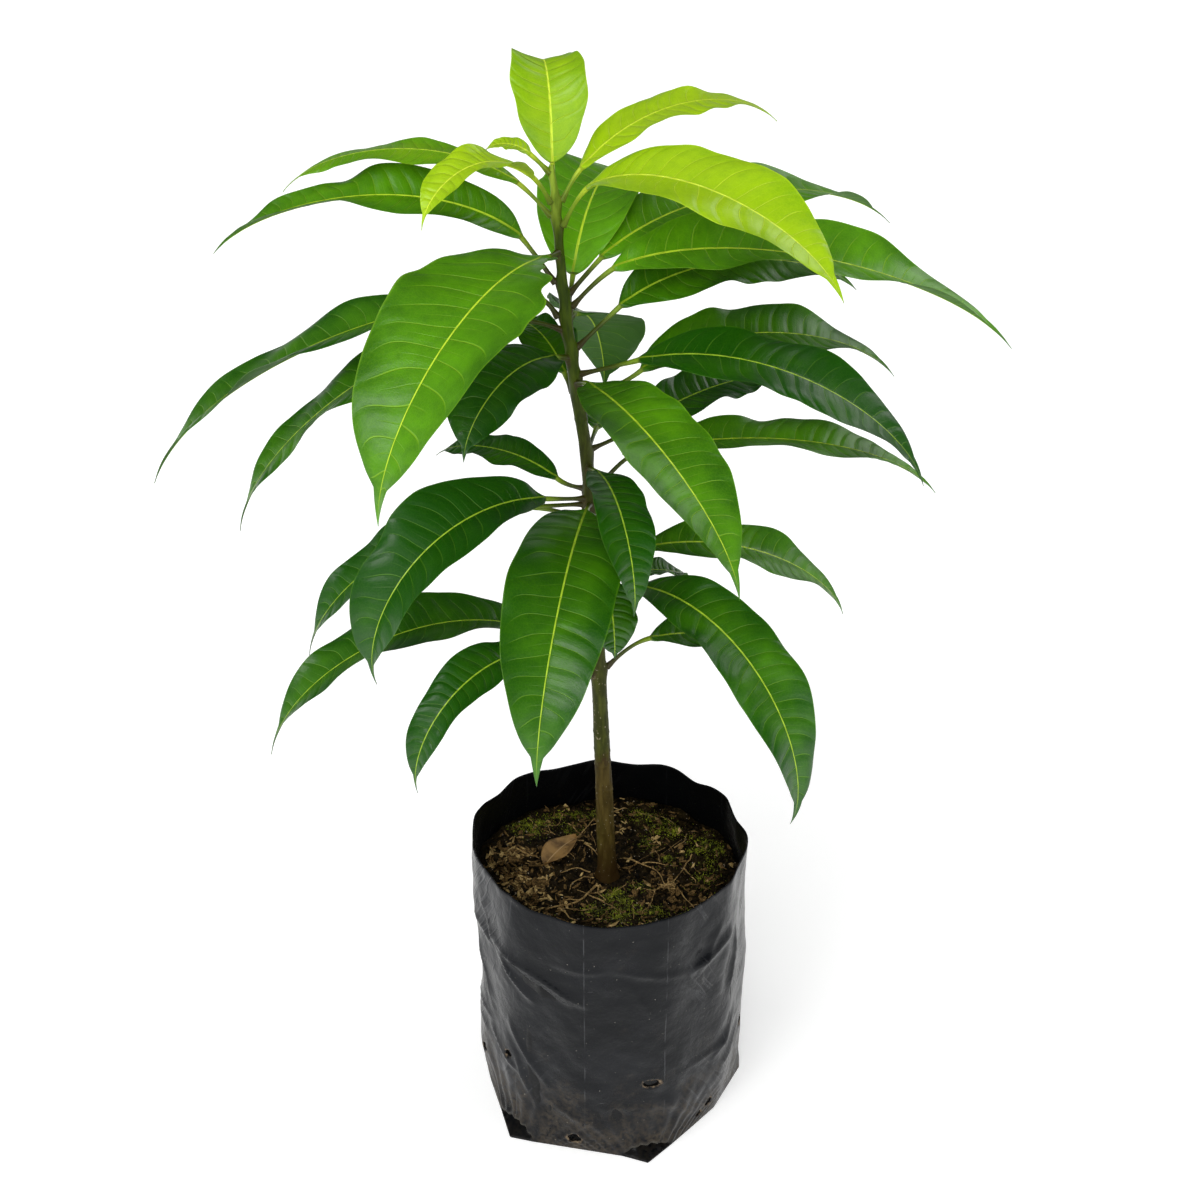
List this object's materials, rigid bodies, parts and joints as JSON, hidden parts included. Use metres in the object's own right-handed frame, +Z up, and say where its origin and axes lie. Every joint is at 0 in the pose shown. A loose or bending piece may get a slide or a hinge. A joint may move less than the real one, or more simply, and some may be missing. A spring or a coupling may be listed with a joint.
{
  "type": "potted mango sapling",
  "caption": "Young mango tree with long drooping leaves on one leaning stem, growing in a soil-filled black polythene nursery bag.",
  "frame": {"origin": "middle of the nursery bag's flat underside", "axes": "+Z up along the stem, -Y towards the viewer, +X to the viewer's right"},
  "size_m": [0.4331, 0.2681, 0.6038],
  "materials": {
    "bag": "slightly glossy black polythene film",
    "soil": "dark moist potting soil, rough",
    "bark": "grey-brown bark that turns green towards the tip",
    "leaf": "glossy deep green leaf",
    "young_leaf": "glossy lime green young leaf"
  },
  "bodies": {
    "root": {"nursery_bag": "bag", "soil": "soil", "trunk": "bark", "leaf_01": "young_leaf", "leaf_02": "young_leaf", "leaf_03": "young_leaf", "leaf_04": "young_leaf", "leaf_05": "young_leaf", "leaf_06": "leaf", "leaf_07": "leaf", "leaf_08": "leaf", "leaf_09": "leaf", "leaf_10": "leaf", "leaf_11": "leaf", "leaf_12": "leaf", "leaf_13": "leaf", "leaf_14": "leaf", "leaf_15": "leaf", "leaf_16": "leaf", "leaf_17": "leaf", "leaf_18": "leaf", "leaf_19": "leaf", "leaf_20": "leaf", "leaf_21": "leaf", "leaf_22": "leaf", "leaf_23": "leaf", "leaf_24": "leaf", "leaf_25": "leaf", "leaf_26": "leaf", "leaf_27": "leaf", "leaf_28": "leaf", "leaf_29": "leaf", "leaf_30": "leaf", "leaf_31": "leaf", "leaf_32": "young_leaf", "leaf_33": "leaf", "leaf_34": "leaf", "leaf_35": "leaf", "leaf_36": "leaf", "leaf_37": "leaf"}
  },
  "joints": []
}
